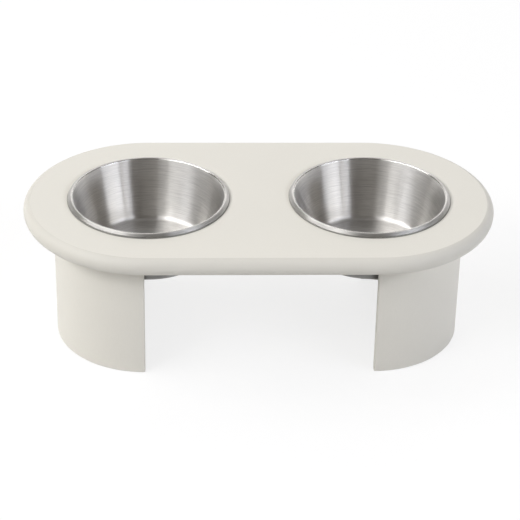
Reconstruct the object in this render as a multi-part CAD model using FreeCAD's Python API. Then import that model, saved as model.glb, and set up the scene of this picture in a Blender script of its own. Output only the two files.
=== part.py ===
import FreeCAD, Part
import math
import os

# Raised feeding stand: an oblong board on two half-round legs, with two bowls dropped into it.
# Millimetres, +Z up, +X along the board, origin on the floor under the middle of the board.

V = FreeCAD.Vector
up = V(0, 0, 1)

# Bowl, pressed from one sheet, with its rim turned outwards and its edge curled under
bowl_sheet = 0.7
bowl_mouth_radius = 64.0      # inside, at the narrowest point of the rim
bowl_floor_radius = 51.5      # inside, where the lines of wall and floor meet
bowl_floor_fillet = 5.0
bowl_depth = 54.0             # inside, from the top of the rim to the floor
rim_tight_radius = 1.6        # of the tight bend at the top of the wall
rim_wide_radius = 3.6         # of the wider bend that falls towards the board
rim_curl_radius = 1.0         # of the curl that rests on the board
rim_bend_angle = 80.0         # degrees above straight outwards, where the tight bend meets the wide one
rim_curl_angle = 30.0         # degrees above straight outwards, where the wide bend meets the curl
rim_edge_angle = -90.0        # degrees above straight outwards, at the sheet's cut edge
bowl_gap = 51.0               # between the two rims, across the middle of the board

# Board
board_thickness = 16.0
board_edge_setback = 6.0      # from the crease of the top face out to the widest point of the edge
cutout_clearance = 0.4        # round the bowl's sheet, just under its rim
cutout_ease = 0.5
rim_seat_gap = 0.1

# Legs, half-round shells that stand just outside the cut-outs
leg_wall = 7.0
leg_height = 110.0
leg_ledge = 5.9               # from the cut-out to the leg's inner face, measured across the board
leg_shift = 3.0               # of the leg's centre beyond the bowl's centre
leg_end_ease = 1.5
leg_foot_ease = 0.8
leg_side_overhang = 27.0      # of the board past the leg, at the front and the back
leg_end_overhang = 25.0       # of the board past the leg, at the end

# Dowels between the legs and the board
dowel_radius = 2.0
dowel_in_leg = 14.0
dowel_in_board = 10.0
dowel_chamfer = 0.5
dowel_side_clearance = 0.05
dowel_end_clearance = 1.0
dowel_angles = (-72.0, -36.0, 0.0, 36.0, 72.0)   # round the leg, from straight outwards

# Rubber pads let into the bottom edges of the legs
pad_radius = 2.2
pad_thickness = 2.0
pad_proud = 0.5
pad_chamfer = 0.3
pad_side_clearance = 0.1
pad_angles = {"front": -76.0, "outer": 0.0, "rear": 76.0}

cut_overrun = 1.0

# Sizes and places that follow from those above
cutout_radius = bowl_mouth_radius + bowl_sheet + cutout_clearance
rim_bend = math.radians(rim_bend_angle)
rim_curl = math.radians(rim_curl_angle)
rim_edge = math.radians(rim_edge_angle)
wide_shift = rim_wide_radius - rim_tight_radius
curl_shift = rim_wide_radius - rim_curl_radius
curl_centre_out = rim_tight_radius - wide_shift * math.cos(rim_bend) + curl_shift * math.cos(rim_curl)
rim_width = curl_centre_out + rim_curl_radius
curl_centre_down = rim_tight_radius + wide_shift * math.sin(rim_bend) - curl_shift * math.sin(rim_curl)
rim_height = curl_centre_down + rim_curl_radius
bowl_centre_x = bowl_mouth_radius + rim_width + bowl_gap / 2
leg_inner_radius = cutout_radius + leg_ledge
leg_outer_radius = leg_inner_radius + leg_wall
leg_middle_radius = leg_inner_radius + leg_wall / 2
leg_centre_x = bowl_centre_x + leg_shift
board_end_radius = leg_outer_radius + leg_side_overhang
board_half_length = leg_centre_x + leg_outer_radius + leg_end_overhang
board_end_centre_x = board_half_length - board_end_radius
leg_bottom_z = pad_proud
board_bottom_z = leg_bottom_z + leg_height
board_top_z = board_bottom_z + board_thickness
rim_top_z = board_top_z + rim_seat_gap + rim_height
bowl_floor_z = rim_top_z - bowl_depth


def polar(centre, radius, angle):
    """Point in the XZ plane at an angle in radians from +X."""
    return centre + V(radius * math.cos(angle), 0, radius * math.sin(angle))


def arc(centre, radius, start, end):
    points = [polar(centre, radius, angle) for angle in (start, (start + end) / 2, end)]
    return Part.Arc(*points).toShape()


def line(start, end):
    return Part.LineSegment(start, end).toShape()


def bowl():
    """Sheet section drawn as an inner and an outer line a sheet apart, turned about the bowl's axis."""
    tight_centre = V(bowl_mouth_radius + rim_tight_radius, 0, rim_top_z - rim_tight_radius)
    wide_centre = polar(tight_centre, -wide_shift, rim_bend)
    curl_centre = polar(wide_centre, curl_shift, rim_curl)
    corner = V(bowl_floor_radius, 0, bowl_floor_z)

    # The wall runs from the floor's corner to the tight bend, and is tangent to it on the bowl's inside.
    reach = tight_centre - corner
    wall_angle = math.atan2(reach.z, reach.x) + math.asin(rim_tight_radius / reach.Length)
    rim_start = wall_angle + math.pi / 2
    flat_radius = bowl_floor_radius - bowl_floor_fillet * math.tan(wall_angle / 2)
    fillet_centre = V(flat_radius, 0, bowl_floor_z + bowl_floor_fillet)
    fillet_start = -math.pi / 2
    fillet_end = wall_angle - math.pi / 2

    edges = []
    for depth in (0, bowl_sheet):
        fillet_radius = bowl_floor_fillet + depth
        tight_radius = rim_tight_radius - depth
        wall_foot = polar(fillet_centre, fillet_radius, fillet_end)
        edges += [
            line(V(0, 0, bowl_floor_z - depth), V(flat_radius, 0, bowl_floor_z - depth)),
            arc(fillet_centre, fillet_radius, fillet_start, fillet_end),
            line(wall_foot, polar(tight_centre, tight_radius, rim_start)),
            arc(tight_centre, tight_radius, rim_start, rim_bend),
            arc(wide_centre, rim_wide_radius - depth, rim_bend, rim_curl),
            arc(curl_centre, rim_curl_radius - depth, rim_curl, rim_edge),
        ]
    edge_corners = [polar(curl_centre, rim_curl_radius - depth, rim_edge) for depth in (0, bowl_sheet)]
    edges += [
        line(V(0, 0, bowl_floor_z), V(0, 0, bowl_floor_z - bowl_sheet)),
        line(*edge_corners),
    ]
    section = Part.Face(Part.Wire(Part.__sortEdges__(edges)))
    solid = section.revolve(V(0, 0, 0), up, 360)
    solid.translate(V(bowl_centre_x, 0, 0))
    return solid


def board_edge_section():
    """Half the board's section across its width, from its middle line to the rounded edge."""
    crease = board_end_radius - board_edge_setback
    rim = [
        V(0, 0, board_bottom_z),
        V(crease, 0, board_bottom_z),
        V(board_end_radius, 0, board_bottom_z + board_thickness / 2),
        V(crease, 0, board_top_z),
        V(0, 0, board_top_z),
    ]
    edges = [
        line(rim[0], rim[1]),
        Part.Arc(rim[1], rim[2], rim[3]).toShape(),
        line(rim[3], rim[4]),
        line(rim[4], rim[0]),
    ]
    return Part.Face(Part.Wire(edges))


def top_board():
    """Oblong board: a straight run between two half-round ends, less the cut-outs and the dowel holes."""
    end = board_edge_section()
    end.rotate(V(0, 0, 0), up, -90)
    end = end.revolve(V(0, 0, 0), up, 180)
    end.translate(V(board_end_centre_x, 0, 0))

    run = board_edge_section()
    run.rotate(V(0, 0, 0), up, -90)
    run.translate(V(-board_end_centre_x, 0, 0))
    run = run.extrude(V(2 * board_end_centre_x, 0, 0))

    mirror_x = V(1, 0, 0)
    mirror_y = V(0, 1, 0)
    others = [run.mirror(V(0, 0, 0), mirror_y), end, end.mirror(V(0, 0, 0), mirror_x)]
    board = run.fuse(others).removeSplitter()

    cuts = []
    for side in (-1, 1):
        hole = Part.makeCylinder(
            cutout_radius,
            board_thickness + 2 * cut_overrun,
            V(side * bowl_centre_x, 0, board_bottom_z - cut_overrun),
        )
        cuts.append(hole)
    board = board.cut(cuts)
    hole_edges = [
        edge for edge in board.Edges
        if isinstance(edge.Curve, Part.Circle) and abs(edge.Curve.Radius - cutout_radius) < cutout_ease
    ]
    board = board.makeFillet(cutout_ease, hole_edges)

    dowel_holes = []
    for hole in dowel_shapes(dowel_side_clearance, dowel_end_clearance):
        dowel_holes += [hole, hole.mirror(V(0, 0, 0), mirror_x)]
    return board.cut(dowel_holes).Solids[0]


def round_leg(angle):
    """Point in the middle of the right leg's wall, at an angle in degrees from straight outwards."""
    turn = math.radians(angle)
    return V(leg_centre_x + leg_middle_radius * math.cos(turn), leg_middle_radius * math.sin(turn), 0)


def dowel_shapes(side_clearance=0, end_clearance=0):
    """The right leg's dowels, or the holes for them when clearances are given."""
    bottom = board_bottom_z - dowel_in_leg - end_clearance
    length = dowel_in_leg + dowel_in_board + 2 * end_clearance
    shapes = []
    for angle in dowel_angles:
        place = round_leg(angle) + V(0, 0, bottom)
        shape = Part.makeCylinder(dowel_radius + side_clearance, length, place)
        if not side_clearance:
            ends = [edge for edge in shape.Edges if isinstance(edge.Curve, Part.Circle)]
            shape = shape.makeChamfer(dowel_chamfer, ends)
        shapes.append(shape)
    return shapes


def leg():
    """Right leg: half a ring, open towards the middle of the stand, with its corners eased."""
    front = V(leg_centre_x, -leg_outer_radius, leg_bottom_z)
    outer = V(leg_centre_x + leg_outer_radius, 0, leg_bottom_z)
    rear = V(leg_centre_x, leg_outer_radius, leg_bottom_z)
    rear_in = V(leg_centre_x, leg_inner_radius, leg_bottom_z)
    inner = V(leg_centre_x + leg_inner_radius, 0, leg_bottom_z)
    front_in = V(leg_centre_x, -leg_inner_radius, leg_bottom_z)
    outline = Part.Wire([
        Part.Arc(front, outer, rear).toShape(),
        line(rear, rear_in),
        Part.Arc(rear_in, inner, front_in).toShape(),
        line(front_in, front),
    ])
    shell = Part.Face(outline).extrude(V(0, 0, leg_height))

    corners = [edge for edge in shell.Edges if abs(edge.tangentAt(edge.FirstParameter).z) > 0.5]
    shell = shell.makeFillet(leg_end_ease, corners)
    foot = [edge for edge in shell.Edges if edge.BoundBox.ZMax < leg_bottom_z + leg_foot_ease]
    shell = shell.makeFillet(leg_foot_ease, foot)

    pockets = []
    for angle in pad_angles.values():
        place = round_leg(angle) + V(0, 0, leg_bottom_z - cut_overrun)
        depth = pad_thickness - pad_proud + cut_overrun
        pockets.append(Part.makeCylinder(pad_radius + pad_side_clearance, depth, place))
    return shell.cut(pockets + dowel_shapes(dowel_side_clearance, dowel_end_clearance)).Solids[0]


def foot_pad(angle):
    """Round pad that stands a little proud of the leg, with the edge that meets the floor broken."""
    pad = Part.makeCylinder(pad_radius, pad_thickness, round_leg(angle))
    bottom = [
        edge for edge in pad.Edges
        if isinstance(edge.Curve, Part.Circle) and edge.BoundBox.ZMax < pad_thickness / 2
    ]
    return pad.makeChamfer(pad_chamfer, bottom)


def both_sides(name, right):
    """A piece of the right half of the stand and its mirror image on the left."""
    left = right.mirror(V(0, 0, 0), V(1, 0, 0))
    return {f"left_{name}": left, f"right_{name}": right}


nodes = {"top_board": top_board()}
nodes.update(both_sides("leg", leg()))
nodes.update(both_sides("bowl", bowl()))
nodes.update(both_sides("leg_dowels", Part.makeCompound(dowel_shapes())))
for place, angle in pad_angles.items():
    nodes.update(both_sides(f"{place}_foot_pad", foot_pad(angle)))

os.makedirs("parts", exist_ok=True)
for name, shape in nodes.items():
    shape.exportStep(f"parts/{name}.step")
    state = "valid" if shape.isValid() else "NOT VALID"
    print(name, len(shape.Solids), "solid(s)", state, round(shape.Volume), "mm3")
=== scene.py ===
import math
import bpy
from mathutils import Matrix, Vector


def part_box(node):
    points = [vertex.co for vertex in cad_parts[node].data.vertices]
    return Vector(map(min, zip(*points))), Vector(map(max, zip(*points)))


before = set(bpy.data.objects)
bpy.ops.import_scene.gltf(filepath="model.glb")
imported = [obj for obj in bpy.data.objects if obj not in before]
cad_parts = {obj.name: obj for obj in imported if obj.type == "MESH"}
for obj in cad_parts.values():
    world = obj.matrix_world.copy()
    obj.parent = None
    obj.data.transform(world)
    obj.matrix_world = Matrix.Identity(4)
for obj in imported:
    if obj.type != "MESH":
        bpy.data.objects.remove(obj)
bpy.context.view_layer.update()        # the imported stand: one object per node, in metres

mm = 0.001
mixFirst, mixSecond, mixResult = 6, 7, 2           # places of the colour sockets on a Mix node
valueFirst, valueSecond, valueResult = 2, 3, 0     # and of its plain value sockets


def srgb(hexColour):     # "#RRGGBB" as written on a swatch, to the linear values that shaders take
    channels = [int(hexColour[i:i + 2], 16) / 255 for i in (1, 3, 5)]
    linear = [c / 12.92 if c <= 0.04045 else ((c + 0.055) / 1.055) ** 2.4 for c in channels]
    return (*linear, 1)


def addNode(tree, kind, settings=None, links=None):
    node = tree.nodes.new(kind)
    for key, value in (settings or {}).items():
        if isinstance(key, int) or key in node.inputs:
            node.inputs[key].default_value = value
        else:
            setattr(node, key, value)
    for key, socket in (links or {}).items():
        tree.links.new(socket, node.inputs[key])
    return node


def newMaterial(name, shaderSettings):
    material = bpy.data.materials.new(name)
    material.use_nodes = True
    tree = material.node_tree
    shader = tree.nodes["Principled BSDF"]
    for key, value in shaderSettings.items():
        shader.inputs[key].default_value = value
    return material, tree, shader


def perMm(size):         # texture scale that repeats about once in this many millimetres
    return 1 / (size * mm)


def fromBowlAxis(tree, place, axisX):     # level vector from a bowl's upright axis to the point being shaded
    offset = addNode(tree, "ShaderNodeVectorMath", {"operation": "SUBTRACT", 1: (axisX, 0, 0)}, {0: place})
    level = addNode(tree, "ShaderNodeVectorMath", {"operation": "MULTIPLY", 1: (1, 1, 0)},
                    {0: offset.outputs[0]})
    return level.outputs[0]


def dress(material, *nodeNames):
    for name in nodeNames:
        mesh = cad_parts[name].data
        mesh.materials.clear()
        mesh.materials.append(material)


# Lacquer sprayed on MDF and sanded plywood: an even chalky cream with a faint orange peel
lacquer = {
    "colour": "#E2DFD6",
    "roughness": 0.55,
    "ior": 1.48,
    "peelSize": 1.4,      # mm between the bumps of the spray
    "peelHeight": 0.012,  # mm
    "peelStrength": 0.6,
    "grainSize": 0.9,     # mm; the real grit is finer, and is drawn as coarse as it needs to show
    "grainShare": 0.02,
    "cloudSize": 90,      # mm between slightly lighter and darker areas
    "cloudShare": 0.015,
    "legStretch": 0.3,    # share of the grain's rate that is kept up the legs, along the plywood's veneer
    "paintedEdgeShade": 0.9,     # painted shade: where the surface leans away from upright, the edge is drawn a little darker than the face
    "edgeLean": 0.96,     # upward part of the surface's direction on the edge
    "faceLean": 0.99,     # and on the face
    "paintedRimShadow": 0.5,     # painted contact shadow: a thin grey ring drawn on the lacquer along each rim's edge
    "rimShadowWidth": 1.2,     # mm
    "rimShadowCore": 1 / 3,    # share of that width, to each side of the rim's edge, that is fully grey
    "rimShadowReach": 2 / 3,   # share to each side where it has faded out
}


def boardShade(tree, place):     # painted shade on the milled edge, and a painted contact shadow round each rim
    surface = addNode(tree, "ShaderNodeNewGeometry")
    facing = addNode(tree, "ShaderNodeSeparateXYZ", None, {0: surface.outputs["Normal"]})
    # painted shade: the edge is drawn darker the further its surface leans from upright
    edge = addNode(tree, "ShaderNodeMapRange", {
        "From Min": lacquer["edgeLean"], "From Max": lacquer["faceLean"],
        "To Min": lacquer["paintedEdgeShade"], "To Max": 1}, {"Value": facing.outputs["Z"]})
    low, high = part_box("right_bowl")
    bowlX, rimRadius = (low.x + high.x) / 2, (high.x - low.x) / 2
    folded = addNode(tree, "ShaderNodeVectorMath", {"operation": "ABSOLUTE"}, {0: place})   # left onto right
    radius = addNode(tree, "ShaderNodeVectorMath", {"operation": "LENGTH"},
                     {0: fromBowlAxis(tree, folded.outputs[0], bowlX)})
    offRim = addNode(tree, "ShaderNodeMath", {"operation": "SUBTRACT", 1: rimRadius},
                     {0: radius.outputs["Value"]})
    nearRim = addNode(tree, "ShaderNodeMath", {"operation": "ABSOLUTE"}, {0: offRim.outputs[0]})
    # painted contact shadow: a grey ring on the board along each rim's edge, also drawn when the bowl is
    # lifted
    mark = addNode(tree, "ShaderNodeMapRange", {
        "From Min": lacquer["rimShadowWidth"] * lacquer["rimShadowCore"] * mm,
        "From Max": lacquer["rimShadowWidth"] * lacquer["rimShadowReach"] * mm,
        "To Min": lacquer["paintedRimShadow"], "To Max": 1}, {"Value": nearRim.outputs[0]})
    shade = addNode(tree, "ShaderNodeMath", {"operation": "MULTIPLY"},
                    {0: edge.outputs[0], 1: mark.outputs[0]})
    return shade.outputs[0]


def makeLacquer(name, stretch, shade=None):
    material, tree, shader = newMaterial(name, {"Roughness": lacquer["roughness"], "IOR": lacquer["ior"]})
    place = addNode(tree, "ShaderNodeTexCoord").outputs["Object"]
    along = addNode(tree, "ShaderNodeMapping", {"Scale": stretch}, {"Vector": place})
    grain = addNode(tree, "ShaderNodeTexNoise", {"Scale": perMm(lacquer["grainSize"]), "Detail": 2},
                    {"Vector": along.outputs[0]})
    cloud = addNode(tree, "ShaderNodeTexNoise", {"Scale": perMm(lacquer["cloudSize"]), "Detail": 2},
                    {"Vector": place})
    grainTone = addNode(tree, "ShaderNodeMapRange", {
        "To Min": 1 - lacquer["grainShare"], "To Max": 1 + lacquer["grainShare"]},
        {"Value": grain.outputs[0]})
    cloudTone = addNode(tree, "ShaderNodeMapRange", {
        "To Min": 1 - lacquer["cloudShare"], "To Max": 1 + lacquer["cloudShare"]},
        {"Value": cloud.outputs[0]})
    tone = addNode(tree, "ShaderNodeMath", {"operation": "MULTIPLY"},
                   {0: grainTone.outputs[0], 1: cloudTone.outputs[0]})
    if shade:
        tone = addNode(tree, "ShaderNodeMath", {"operation": "MULTIPLY"},
                       {0: tone.outputs[0], 1: shade(tree, place)})
    colour = addNode(tree, "ShaderNodeVectorMath", {"operation": "SCALE", 0: srgb(lacquer["colour"])[:3]},
                     {"Scale": tone.outputs[0]})
    peel = addNode(tree, "ShaderNodeTexNoise", {"Scale": perMm(lacquer["peelSize"]), "Detail": 1},
                   {"Vector": place})
    bump = addNode(tree, "ShaderNodeBump", {
        "Strength": lacquer["peelStrength"], "Distance": lacquer["peelHeight"] * mm},
        {"Height": peel.outputs[0]})
    tree.links.new(colour.outputs[0], shader.inputs["Base Color"])
    tree.links.new(bump.outputs[0], shader.inputs["Normal"])
    return material


dress(makeLacquer("LacqueredMdf", (1, 1, 1), boardShade), "top_board")
dress(makeLacquer("LacqueredPlywood", (1, 1, lacquer["legStretch"])), "left_leg", "right_leg")
print("stage: board and legs lacquered")

# Stainless sheet, spun against an abrasive pad: fine rings round the bowl that smear light into upright
# bands, and a curled rim with a smoother crown and a duller outer slope
steel = {
    "colour": "#D3D1CE",
    "wallRoughness": 0.32,
    "rimRoughness": 0.24,
    "anisotropy": 1.0,
    "ringSize": 0.8,      # mm between brush lines; drawn coarser than the real 0.1 so that they show
    "ringLength": 20,     # mm along a brush line
    "ringShare": 0.4,     # how much lighter or darker a brush line can be
    "ringHeight": 0.004,  # mm
    "ringStrength": 0.5,
    "smearTurn": 0.25,    # of a full turn, so that the smear runs across the brush lines
    "rimDepth": 1.5,      # mm down from the rim's top where the wall's finish begins
    "outside": "#A09F9D",     # painted shade: the sheet is drawn darker grey where it looks down, under the board; its duller finish is the roughness below
    "outsideRoughness": 0.5,
    "crownSlope": 0.35,   # fall over run of the rim's outer slope where the finer pad leaves it
    "crownBlend": 0.2,    # how gradually it leaves
}


def makeSteel(name, bowlName):
    material, tree, shader = newMaterial(name, {
        "Metallic": 1,
        "Anisotropic": steel["anisotropy"],
        "Anisotropic Rotation": steel["smearTurn"],
    })
    shader.distribution = "GGX"   # light leaves the brush lines after one bounce: darker where it grazes
    low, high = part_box(bowlName)
    rimRadius = (high.x - low.x) / 2
    place = addNode(tree, "ShaderNodeTexCoord").outputs["Object"]
    height = addNode(tree, "ShaderNodeSeparateXYZ", None, {0: place})
    level = fromBowlAxis(tree, place, (low.x + high.x) / 2)
    radius = addNode(tree, "ShaderNodeVectorMath", {"operation": "LENGTH"}, {0: level})
    heading = addNode(tree, "ShaderNodeVectorMath", {"operation": "NORMALIZE"}, {0: level})
    track = addNode(tree, "ShaderNodeMath", {"operation": "ADD"},
                    {0: radius.outputs["Value"], 1: height.outputs["Z"]})   # grows along floor, wall and rim
    acrossRings = addNode(tree, "ShaderNodeMath", {"operation": "MULTIPLY", 1: perMm(steel["ringSize"])},
                          {0: track.outputs[0]})
    alongRings = addNode(tree, "ShaderNodeVectorMath", {
        "operation": "SCALE", "Scale": rimRadius * perMm(steel["ringLength"])}, {0: heading.outputs[0]})
    ringPlace = addNode(tree, "ShaderNodeCombineXYZ", None, {"Z": acrossRings.outputs[0]})
    ringVector = addNode(tree, "ShaderNodeVectorMath", {"operation": "ADD"},
                         {0: alongRings.outputs[0], 1: ringPlace.outputs[0]})
    rings = addNode(tree, "ShaderNodeTexNoise", {"Scale": 1, "Detail": 3, "Roughness": 0.65},
                    {"Vector": ringVector.outputs[0]})
    ringTone = addNode(tree, "ShaderNodeMapRange", {
        "To Min": 1 - steel["ringShare"], "To Max": 1 + steel["ringShare"]}, {"Value": rings.outputs[0]})
    polished = addNode(tree, "ShaderNodeMapRange", {
        "From Min": high.z - steel["rimDepth"] * mm, "From Max": high.z,
        "To Min": steel["wallRoughness"], "To Max": steel["rimRoughness"]}, {"Value": height.outputs["Z"]})

    # Past its crown the rim is duller, and painted shade, a darker grey, begins where the sheet looks down
    surface = addNode(tree, "ShaderNodeNewGeometry")
    outward = addNode(tree, "ShaderNodeVectorMath", {"operation": "ADD", 1: (0, 0, -steel["crownSlope"])},
                      {0: heading.outputs[0]})
    lean = addNode(tree, "ShaderNodeVectorMath", {"operation": "DOT_PRODUCT"},
                   {0: surface.outputs["Normal"], 1: outward.outputs[0]})
    pastCrown = addNode(tree, "ShaderNodeMapRange", {
        "From Min": -steel["crownBlend"], "From Max": steel["crownBlend"]}, {"Value": lean.outputs["Value"]})
    # painted shade: the downward-facing sheet takes the darker grey
    facing = addNode(tree, "ShaderNodeSeparateXYZ", None, {0: surface.outputs["Normal"]})
    looksDown = addNode(tree, "ShaderNodeMath", {"operation": "LESS_THAN", 1: 0}, {0: facing.outputs["Z"]})
    sheet = addNode(tree, "ShaderNodeMix", {
        "data_type": "RGBA", mixFirst: srgb(steel["colour"]), mixSecond: srgb(steel["outside"])},
        {0: looksDown.outputs[0]})
    colour = addNode(tree, "ShaderNodeVectorMath", {"operation": "SCALE"},
                     {0: sheet.outputs[mixResult], "Scale": ringTone.outputs[0]})
    dull = addNode(tree, "ShaderNodeMix", {valueSecond: steel["outsideRoughness"]},
                   {0: pastCrown.outputs[0], valueFirst: polished.outputs[0]})
    bump = addNode(tree, "ShaderNodeBump", {
        "Strength": steel["ringStrength"], "Distance": steel["ringHeight"] * mm},
        {"Height": rings.outputs[0]})
    turned = addNode(tree, "ShaderNodeTangent", {"direction_type": "RADIAL", "axis": "Z"})
    tree.links.new(colour.outputs[0], shader.inputs["Base Color"])
    tree.links.new(dull.outputs[valueResult], shader.inputs["Roughness"])
    tree.links.new(bump.outputs[0], shader.inputs["Normal"])
    tree.links.new(turned.outputs[0], shader.inputs["Tangent"])
    return material


for side in ("left", "right"):
    dress(makeSteel(f"BrushedStainless.{side}", f"{side}_bowl"), f"{side}_bowl")
print("stage: bowls brushed")

# Rubber moulded in a spark-eroded tool: nearly black, dull, with a fine pebble that breaks up any shine
rubber = {
    "colour": "#2C2B2A",
    "roughness": 0.8,
    "roughnessSpread": 0.12,
    "ior": 1.52,
    "pebbleSize": 0.25,   # mm
    "pebbleHeight": 0.03,     # mm
    "pebbleStrength": 0.7,
    "dustSize": 1.2,      # mm between slightly greyer patches
    "dustShare": 0.25,
}


def makeRubber(name):
    material, tree, shader = newMaterial(name, {"IOR": rubber["ior"]})
    place = addNode(tree, "ShaderNodeTexCoord").outputs["Object"]
    pebble = addNode(tree, "ShaderNodeTexVoronoi", {"Scale": perMm(rubber["pebbleSize"])}, {"Vector": place})
    dust = addNode(tree, "ShaderNodeTexNoise", {"Scale": perMm(rubber["dustSize"]), "Detail": 3},
                   {"Vector": place})
    tone = addNode(tree, "ShaderNodeMapRange", {
        "To Min": 1 - rubber["dustShare"], "To Max": 1 + rubber["dustShare"]}, {"Value": dust.outputs[0]})
    colour = addNode(tree, "ShaderNodeVectorMath", {"operation": "SCALE", 0: srgb(rubber["colour"])[:3]},
                     {"Scale": tone.outputs[0]})
    dull = addNode(tree, "ShaderNodeMapRange", {
        "To Min": rubber["roughness"] - rubber["roughnessSpread"],
        "To Max": rubber["roughness"] + rubber["roughnessSpread"]}, {"Value": dust.outputs[0]})
    bump = addNode(tree, "ShaderNodeBump", {
        "Strength": rubber["pebbleStrength"], "Distance": rubber["pebbleHeight"] * mm},
        {"Height": pebble.outputs["Distance"]})
    tree.links.new(colour.outputs[0], shader.inputs["Base Color"])
    tree.links.new(dull.outputs[0], shader.inputs["Roughness"])
    tree.links.new(bump.outputs[0], shader.inputs["Normal"])
    return material


# Beech dowel rod, turned and left bare: pinkish tan with long grain and short dark flecks
beech = {
    "pale": "#D3AA7E",
    "dark": "#B98558",
    "fleck": "#8C5F3C",
    "roughness": 0.6,
    "ior": 1.5,
    "grainSize": 0.6,     # mm across the grain
    "fleckSize": 0.8,     # mm across a fleck
    "fleckStart": 0.6,    # noise level where a fleck begins
    "fleckFull": 0.66,    # and where it has its full colour
    "stretch": 0.06,      # share of the across-grain rate that is kept along the rod
    "grainHeight": 0.02,  # mm
    "grainStrength": 0.6,
}


def makeBeech(name):
    material, tree, shader = newMaterial(name, {"Roughness": beech["roughness"], "IOR": beech["ior"]})
    place = addNode(tree, "ShaderNodeTexCoord").outputs["Object"]
    along = addNode(tree, "ShaderNodeMapping", {"Scale": (1, 1, beech["stretch"])}, {"Vector": place})
    grain = addNode(tree, "ShaderNodeTexNoise", {"Scale": perMm(beech["grainSize"]), "Detail": 3},
                    {"Vector": along.outputs[0]})
    fleck = addNode(tree, "ShaderNodeTexNoise", {"Scale": perMm(beech["fleckSize"]), "Detail": 1},
                    {"Vector": along.outputs[0]})
    mark = addNode(tree, "ShaderNodeMapRange", {
        "From Min": beech["fleckStart"], "From Max": beech["fleckFull"]}, {"Value": fleck.outputs[0]})
    wood = addNode(tree, "ShaderNodeMix", {
        "data_type": "RGBA", mixFirst: srgb(beech["pale"]), mixSecond: srgb(beech["dark"])},
        {0: grain.outputs[0]})
    flecked = addNode(tree, "ShaderNodeMix", {"data_type": "RGBA", mixSecond: srgb(beech["fleck"])},
                      {0: mark.outputs[0], mixFirst: wood.outputs[mixResult]})
    bump = addNode(tree, "ShaderNodeBump", {
        "Strength": beech["grainStrength"], "Distance": beech["grainHeight"] * mm},
        {"Height": grain.outputs[0]})
    tree.links.new(flecked.outputs[mixResult], shader.inputs["Base Color"])
    tree.links.new(bump.outputs[0], shader.inputs["Normal"])
    return material


dress(makeRubber("MouldedRubber"), *[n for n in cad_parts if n.endswith("foot_pad")])
dress(makeBeech("TurnedBeech"), "left_leg_dowels", "right_leg_dowels")
print("stage: pads and dowels dressed")

# Studio: white paper below, soft boxes at the left, right and back, a dark camera side and a low pale wall
studio = {
    "floorSize": 400,     # metres, out to the horizon
    "floorGlow": 0.77,    # share of the paper's white that the camera sees even in shadow
    "floorTint": 0.24,    # share that comes from the lamps, so that shadows show
    "floorBounce": 0.7,   # share of the light that the paper throws back on the stand
    "room": "#433C34",    # dark brown studio above the wall
    "wall": "#E8E8E8",    # pale wall all round
    "wallTop": 9,         # degrees above the floor
    "wallFade": 0.8,      # share of that height where the wall begins to fade into the room
    "aim": (0, 0, 0.1),
    "reach": 4.0,         # metres from the stand to each box
    "rightTint": "#F1F5FF",     # daylight side, a little cooler
    "boxes": {            # degrees to the right of the camera's side and above the floor, then the box's size
        "leftNear": {"heading": -27, "rise": 34, "wide": 15.0, "high": 12, "glow": 3.5},
        "leftFront": {"heading": -46, "rise": 38, "wide": 15.8, "high": 16, "glow": 9.8},
        "leftMiddle": {"heading": -70, "rise": 38, "wide": 22.2, "high": 16, "glow": 7.0},
        "leftSide": {"heading": -98, "rise": 38, "wide": 22.2, "high": 16, "glow": 6.8},
        "leftTop": {"heading": -46, "rise": 64, "wide": 8.8, "high": 20, "glow": 2.5},
        "leftTopSide": {"heading": -98, "rise": 64, "wide": 12.5, "high": 20, "glow": 2.5},
        "rightStrip": {"heading": 36.5, "rise": 28, "wide": 9.7, "high": 16, "glow": 6.2},
        "rightFront": {"heading": 53, "rise": 27, "wide": 12.5, "high": 16, "glow": 7.8},
        "rightSide": {"heading": 69, "rise": 26, "wide": 16.2, "high": 16, "glow": 6.2},
        "rightEnd": {"heading": 90, "rise": 6, "wide": 23.9, "high": 10, "glow": 2.4},
        "backRight": {"heading": 125, "rise": 6, "wide": 45.8, "high": 10, "glow": 2.5},
        "back": {"heading": 180, "rise": 12, "wide": 62.9, "high": 24, "glow": 0.9},
        "backLeft": {"heading": -130, "rise": 6, "wide": 35.8, "high": 10, "glow": 2.6},
        "backHigh": {"heading": 175, "rise": 37, "wide": 40.9, "high": 26, "glow": 1.2},
        "backTop": {"heading": 180, "rise": 62, "wide": 58.5, "high": 24, "glow": 0.84},
        "overhead": {"heading": 0, "rise": 90, "wide": 32, "high": 32, "glow": 0.4},
    },
}


def seenRays(tree):      # 1 for rays that show the background: to the camera, and by way of metal or glass
    path = addNode(tree, "ShaderNodeLightPath")
    mirrored = addNode(tree, "ShaderNodeMath", {"operation": "MAXIMUM"},
                       {0: path.outputs["Is Glossy Ray"], 1: path.outputs["Is Transmission Ray"]})
    seen = addNode(tree, "ShaderNodeMath", {"operation": "MAXIMUM"},
                   {0: path.outputs["Is Camera Ray"], 1: mirrored.outputs[0]})
    return seen.outputs[0]


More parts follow.
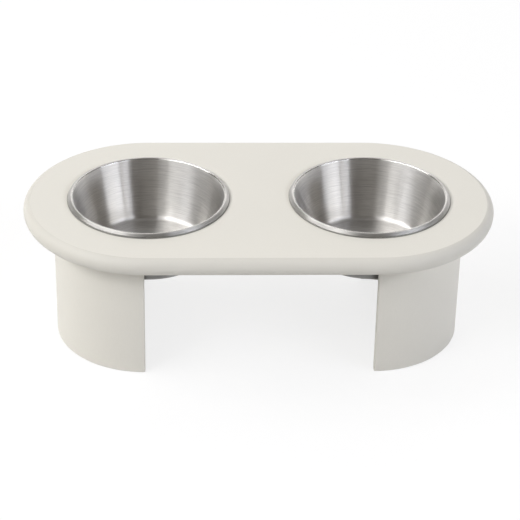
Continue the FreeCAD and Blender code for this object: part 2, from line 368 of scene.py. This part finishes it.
def makeFloor():
    half = studio["floorSize"] / 2
    mesh = bpy.data.meshes.new("floor")
    corners = [(-half, -half, 0), (half, -half, 0), (half, half, 0), (-half, half, 0)]
    mesh.from_pydata(corners, [], [(0, 1, 2, 3)])
    floor = bpy.data.objects.new("floor", mesh)
    bpy.context.scene.collection.objects.link(floor)
    material = bpy.data.materials.new("PaperSweep")
    material.use_nodes = True
    tree = material.node_tree
    tree.nodes.clear()
    paper = addNode(tree, "ShaderNodeBsdfDiffuse", {"Color": (studio["floorBounce"],) * 3 + (1,)})
    shadowed = addNode(tree, "ShaderNodeBsdfDiffuse", {"Color": (studio["floorTint"],) * 3 + (1,)})
    glow = addNode(tree, "ShaderNodeEmission", {"Strength": studio["floorGlow"]})
    white = addNode(tree, "ShaderNodeAddShader", None, {0: shadowed.outputs[0], 1: glow.outputs[0]})
    mix = addNode(tree, "ShaderNodeMixShader", None,
                  {0: seenRays(tree), 1: paper.outputs[0], 2: white.outputs[0]})
    addNode(tree, "ShaderNodeOutputMaterial", None, {"Surface": mix.outputs[0]})
    mesh.materials.append(material)


def makeRoom():
    world = bpy.data.worlds.new("studio")
    bpy.context.scene.world = world
    world.use_nodes = True
    tree = world.node_tree
    tree.nodes.clear()
    place = addNode(tree, "ShaderNodeTexCoord")
    rise = addNode(tree, "ShaderNodeSeparateXYZ", None, {0: place.outputs["Generated"]})
    wallTop = math.sin(math.radians(studio["wallTop"]))
    onWall = addNode(tree, "ShaderNodeMapRange", {
        "From Min": studio["wallFade"] * wallTop, "From Max": wallTop, "To Min": 1, "To Max": 0},
        {"Value": rise.outputs["Z"]})
    shown = addNode(tree, "ShaderNodeMath", {"operation": "MULTIPLY"},
                    {0: seenRays(tree), 1: onWall.outputs[0]})
    colour = addNode(tree, "ShaderNodeMix", {
        "data_type": "RGBA", mixFirst: srgb(studio["room"]), mixSecond: srgb(studio["wall"])},
        {0: shown.outputs[0]})
    around = addNode(tree, "ShaderNodeBackground", None, {"Color": colour.outputs[mixResult]})
    addNode(tree, "ShaderNodeOutputWorld", None, {"Surface": around.outputs[0]})


def makeLights():
    aim = Vector(studio["aim"])
    for name, box in studio["boxes"].items():
        data = bpy.data.lights.new(name, "AREA")
        data.shape = "RECTANGLE"
        across, above = math.radians(box["heading"]), math.radians(box["rise"])
        data.size = 2 * studio["reach"] * math.tan(math.radians(box["wide"]) / 2)
        data.size_y = 2 * studio["reach"] * math.tan(math.radians(box["high"]) / 2)
        data.energy = math.pi * data.size * data.size_y * box["glow"]     # the same brightness at any size
        if name.startswith("right"):
            data.color = srgb(studio["rightTint"])[:3]
        lamp = bpy.data.objects.new(name, data)
        bpy.context.scene.collection.objects.link(lamp)
        level = math.cos(above)
        out = Vector((level * math.sin(across), -level * math.cos(across), math.sin(above)))
        lamp.location = aim + studio["reach"] * out
        lamp.rotation_euler = (-out).to_track_quat("-Z", "Y").to_euler()
        lamp.visible_camera = False


makeFloor()
makeRoom()
makeLights()
bpy.context.scene.view_settings.view_transform = "Standard"
print("stage: studio lit")

# Camera at the photograph's place, a little to the left of the stand's middle
view = {
    "place": (-0.0658, -1.48035, 0.96291),
    "focal": 2000,        # in pixels of the 520-pixel picture
    "pictureWidth": 520,
    "sensor": 36,         # mm
    "down": 31.23,        # degrees
    "right": 2.61,
    "roll": 1.22,
}


def makeCamera():
    data = bpy.data.cameras.new("camera")
    data.sensor_width = view["sensor"]
    data.lens = view["focal"] / view["pictureWidth"] * view["sensor"]
    camera = bpy.data.objects.new("camera", data)
    bpy.context.scene.collection.objects.link(camera)
    turn = Matrix.Rotation(math.radians(-view["right"]), 4, "Z")
    tilt = Matrix.Rotation(math.radians(90 - view["down"]), 4, "X")
    roll = Matrix.Rotation(math.radians(view["roll"]), 4, "Z")
    camera.matrix_world = Matrix.Translation(view["place"]) @ turn @ tilt @ roll
    bpy.context.scene.camera = camera


makeCamera()
print("stage: camera placed")
